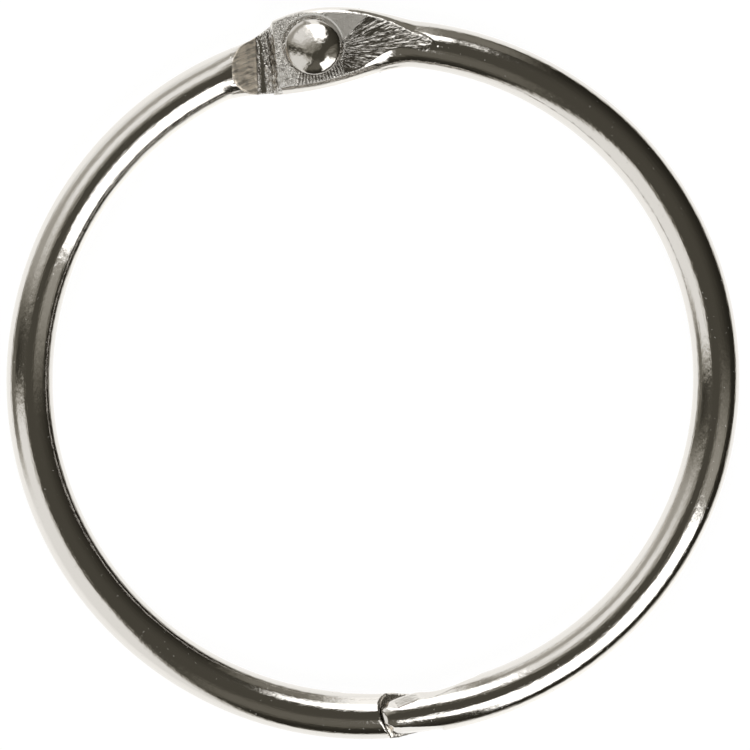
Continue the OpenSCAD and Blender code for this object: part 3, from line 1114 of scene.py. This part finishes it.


# %% [markdown]
# ### Colour
# Well plated nickel is a warm pale grey. Where the bath threw little of it the steel's brown shows
# through. The grooves and hollows are darkened with painted shade, and burrs and edges that
# catch the light are painted matt white as highlights.

# %% Colours of the plate
NICKEL = (0.72, 0.69, 0.65, 1)
DULL_NICKEL = (0.68, 0.655, 0.615, 1)
BARE_NICKEL = (0.8, 0.72, 0.61, 1)
# Dark colour painted in as shade in grooves, hollows and gaps
PAINTED_SHADE_NICKEL = (0.16, 0.145, 0.125, 1)
# Matt white painted highlight for burrs and edges that catch the light
PAINTED_HIGHLIGHT = (0.95, 0.93, 0.89, 1)
RIVET_NICKEL = (0.64, 0.61, 0.57, 1)


def painted_shade_in_hollows(at, zone, mark):
    """How strongly painted shade darkens the grooves and hollows of each zone, from 0 to 1."""
    step = at.sheet.step
    flecks = step(mark.shreds, 0.02, -0.14) * (1 - at.low_end * 0.55)
    shaded = step(mark.lines, 0.12, -0.2) * 0.55 + step(mark.uneven, 0.1, -0.4) * 0.3
    # Painted shade: combed grooves, hammered pits, shoulder, lap, hollows between ramp ridges,
    # torn-end band and torn pits
    return at.sheet.largest(
        step(mark.combed + mark.uneven, 0.35, -0.5) * zone.comb * 0.85,
        step(mark.chips + mark.grain * 0.7, -0.12, -0.45) * zone.hammered * 0.6,
        shaded * zone.shoulder,
        (zone.lap - zone.lap_out) * 0.3,
        (zone.on_ramp - mark.ridges) * (0.55 - step(mark.hairs, 0.05, 0.4) * 0.4),
        zone.dark_band * 0.8,
        flecks * zone.speckled * 0.8,
    )


def painted_highlights(at, zone, mark):
    """Share of the surface painted matt white as a highlight on burrs and edges, from 0 to 1."""
    step = at.sheet.step
    return at.sheet.largest(
        zone.ring_line,
        step(mark.shreds, 0.08, 0.28) * zone.speckled * (at.low_end * 0.7 + 0.3),
        step(mark.chips, 0, 0.25) * zone.corner * 0.8,
    )


print("plate", NICKEL[:3], "grooves", PAINTED_SHADE_NICKEL[:3], "burrs", PAINTED_HIGHLIGHT[:3])

# %% [markdown]
# ### The finish of a half ring
# The steps come together here. Roughness rises where a tool worked the surface, and the base
# colour passes from plain plate to dull plate, to the brown of the shoulder, to the painted shade
# of the grooves and hollows and last to the painted white highlight of the burrs.

# %% Finish of a half ring
def half_ring_nickel(name, turned_over):
    """Plated wire: bright along the wire, duller where it was pressed, sheared or nipped."""
    material = bpy.data.materials.new(name)
    sheet = Sheet(material)
    at = Places(sheet, turned_over)
    zone = pressed_zones(at)
    add_sheared_zones(at, zone)
    mark = tool_patterns(at, zone)
    worked = sheet.math("MINIMUM", zone.hammered + zone.brushed + zone.lap, 1)
    dull = worked * 0.18 + zone.brushed * 0.22 + zone.shoulder * 0.38
    dull = dull + zone.on_ramp * 0.07 + zone.speckled * 0.07
    # Real burrs, chips and the ring line, with their glint painted in matt white
    glint_share = painted_highlights(at, zone, mark)
    tint = sheet.blend(worked * 0.8, NICKEL, DULL_NICKEL)
    tint = sheet.blend(sheet.largest(zone.shoulder, zone.lap * 0.2), tint, BARE_NICKEL)
    # Painted shade darkens the grooves, hollows and gaps
    tint = sheet.blend(painted_shade_in_hollows(at, zone, mark), tint, PAINTED_SHADE_NICKEL)
    sheet.metal(
        plate_relief(at, zone, mark),
        Base_Color=sheet.blend(glint_share, tint, PAINTED_HIGHLIGHT),
        Metallic=1 - zone.shoulder * 0.3 - glint_share,
        Roughness=dull + mark.grain * worked * 0.08 + 0.075 + mark.pits * 0.1,
    )
    return material


# %% [markdown]
# ### The finish of the rivet
# The rivet was headed and then plated with the rest, so no tool touched its plate. Its dome is
# bright but a little uneven, with a few pits, and three layers of noise are enough for it.

# %% Finish of the rivet
def rivet_nickel(name):
    """A headed and plated rivet: a bright dome that is a little uneven, with a few pits."""
    material = bpy.data.materials.new(name)
    sheet = Sheet(material)
    x, y, z = [part * (1 / MM) for part in sheet.parts(sheet.node("TexCoord").outputs["Object"])]
    swell = sheet.noise(0.9, 2, x, y, z)
    ripple = sheet.noise(2.6, 3, x, y, z, 0.6)
    pits = sheet.step(sheet.noise(3.5, 0, x, y, z), 0.62, 0.7)
    sheet.metal(
        swell * 0.02 + ripple * 0.006 - pits * 0.012,
        Base_Color=RIVET_NICKEL,
        Metallic=1,
        Roughness=0.09 + pits * 0.2 + ripple * 0.03,
    )
    return material


# %% Give each piece its finish
finishes = [
    (right_half, half_ring_nickel("nickel_on_right_half", False)),
    (left_half, half_ring_nickel("nickel_on_left_half", True)),
    (rivet, rivet_nickel("nickel_on_rivet")),
]
for piece, finish in finishes:
    piece.data.materials.clear()
    piece.data.materials.append(finish)
    print(piece.name, "has", len(finish.node_tree.nodes), "nodes in its finish")


# %% [markdown]
# ## The studio
# Polished nickel shows nothing but the room around it, so the room is what gives the ring its
# look. The ring lies inside a dim tent. Two white softboxes, a pale wall on the left and a grey
# one at the back stand round it, with dark gaps between them, and the bright table fills the view
# from below. Lamps and cards could be placed as objects, but a tent is drawn most simply as the
# sky of the scene, by the compass direction and by the angle down from straight above, both in
# degrees. Each patch is laid over those before it.

# %% The light tent
# Dim cloth looks warm beside the white of the lamps
WARM_DARK, WHITE = (1, 0.905, 0.66, 1), (1, 1.005, 1, 1)


def light_tent():
    """Draws the tent as the light that comes from each direction."""
    world = bpy.data.worlds.new("light_tent")
    bpy.context.scene.world = world
    sheet = Sheet(world)
    direction = sheet.node("TexCoord").outputs["Generated"]
    x, y, z = sheet.parts(direction)
    degrees = 180 / math.pi
    compass = sheet.math("ARCTAN2", y, x) * degrees
    tilt = sheet.math("ARCCOSINE", z) * degrees

    def patch(low_side, high_side, top, bottom, side_blur, edge_blur):
        """1 inside a patch of the tent, given by its compass sides and its tilts from above."""
        middle, half = (low_side + high_side) / 2, (high_side - low_side) / 2
        away = sheet.math("ABSOLUTE", sheet.math("WRAP", compass - middle, -180, 180))
        across = sheet.step(away, half + side_blur, half - side_blur)
        down = sheet.step(tilt, top - edge_blur, top + edge_blur)
        up = sheet.step(tilt, bottom + edge_blur, bottom - edge_blur)
        return across * down * up

    def lay(light, brightness, mask):
        return light + (brightness - light) * mask

    # The dim cloth of the tent, and a faint patch at the front left
    light = sheet.step(tilt, 100, 20) * 0.055 + 0.023
    light = lay(light, 0.15, patch(230, 268, 20, 60, 6, 10))
    # The grey wall at the back left, with the lamp's glow on it and a paler foot
    light = lay(light, 0.45, patch(92, 156, 19, 200, 8, 8))
    light = lay(light, 1.05, patch(100, 145, 31, 58, 14, 8))
    light = lay(light, 0.95, patch(91, 138, 82, 200, 8, 8))
    # The pale wall on the left, and the dark gap at its edge
    light = lay(light, 0.98, patch(173, (tilt - 30) * 0.4 + 215, 27, 200, 5, 9))
    light = lay(light, 0.18, patch(160, 183, 72, 108, 8, 8))
    # The bright table below, whose edge is nearer, and so lower down, on the right
    nearer = sheet.math("MAXIMUM", sheet.math("COSINE", (compass - 15) * (1 / degrees)), 0)
    table_edge = nearer * nearer * 16.5 + 101 - patch(200, 232, -20, 200, 12, 5) * 5
    table_edge = table_edge + patch(277, 335, -20, 200, 8, 5) * 7
    table = sheet.step(tilt - table_edge, -9, 9)
    light = lay(light, patch(270, 330, -20, 200, 10, 5) * 0.15 + 1.15, table)
    # At the back a dark gap with a bright strip in it, and over them the softbox
    light = lay(light, 0.22, patch(55, 100, 62, 100, 6, 5))
    light = lay(light, 1.3, patch(74, 94, 58, 108, 5, 5))
    narrow = sheet.step(compass, 80, 66)
    light = lay(light, 2.2, patch(64, 104, narrow * 7 + 27, 61 - narrow * 5, 4, 4))
    # The softbox at the front, narrower low down, with a grey card beyond it on the right
    light = lay(light, 0.36, patch(300, 345, 22, 72, 12, 10))
    low_down = sheet.step(tilt, 30, 60)
    light = lay(light, 2.4, patch(low_down * 13 + 266, 326, 25.5, 76, 3, 4))
    # The view past the ring is plain white
    seen = sheet.node("LightPath").outputs["Is Camera Ray"]
    light = lay(light, 1.0, Number(sheet, seen))
    brightness = sheet.math("SQRT", sheet.math("MINIMUM", light, 1))
    glow = sheet.blend(brightness, WARM_DARK, WHITE)
    sheet.show(sheet.node("Background", Color=glow, Strength=light), "World")


light_tent()
print("world:", bpy.context.scene.world.name)

# %% [markdown]
# ## The table and the camera
# The table is a plain white plane that also glows, so that it stays white where the ring shades
# it. The tent already holds its reflection, so the plane itself is hidden from the nickel. A long
# lens far above shows the ring without perspective, and the view is turned so that the hinge
# stands a little left of the top.

# %% The table
TABLE_SIZE = 2.0
GLOW, GLOW_SHARE = 1.15, 0.8


def table_top():
    bpy.ops.object.select_all(action="DESELECT")
    bpy.ops.mesh.primitive_plane_add(size=TABLE_SIZE)
    table = bpy.context.object
    table.name = "table"
    material = bpy.data.materials.new("white_table")
    sheet = Sheet(material)
    shaded = sheet.node("BsdfDiffuse", Color=(0.8, 0.8, 0.8, 1))
    glow = sheet.node("Emission", Color=(1, 1, 1, 1), Strength=GLOW)
    parts = {"in_1": shaded.outputs[0], "in_2": glow.outputs[0]}
    sheet.show(sheet.node("MixShader", in_0=GLOW_SHARE, **parts))
    table.data.materials.append(material)
    table.visible_glossy = False


table_top()

# %% The camera
VIEW_TURN = math.radians(10.3)
VIEW_WIDTH, VIEW_MIDDLE = 0.0595, (0.00023, 0.0003)
CAMERA_HEIGHT = 0.7


def look_down():
    """A long lens straight above, with the hinge a little left of the top of the view."""
    data = bpy.data.cameras.new("camera")
    data.sensor_width = 36
    data.lens = data.sensor_width * CAMERA_HEIGHT / VIEW_WIDTH
    data.clip_start, data.clip_end = 0.01, 10
    camera = bpy.data.objects.new("camera", data)
    bpy.context.scene.collection.objects.link(camera)
    camera.location = (*VIEW_MIDDLE, WIRE_R * MM + CAMERA_HEIGHT)
    camera.rotation_euler = (0, 0, -VIEW_TURN)
    bpy.context.scene.camera = camera
    print("lens of", round(data.lens), "millimetres")


look_down()
bpy.context.scene.view_settings.view_transform = "Standard"
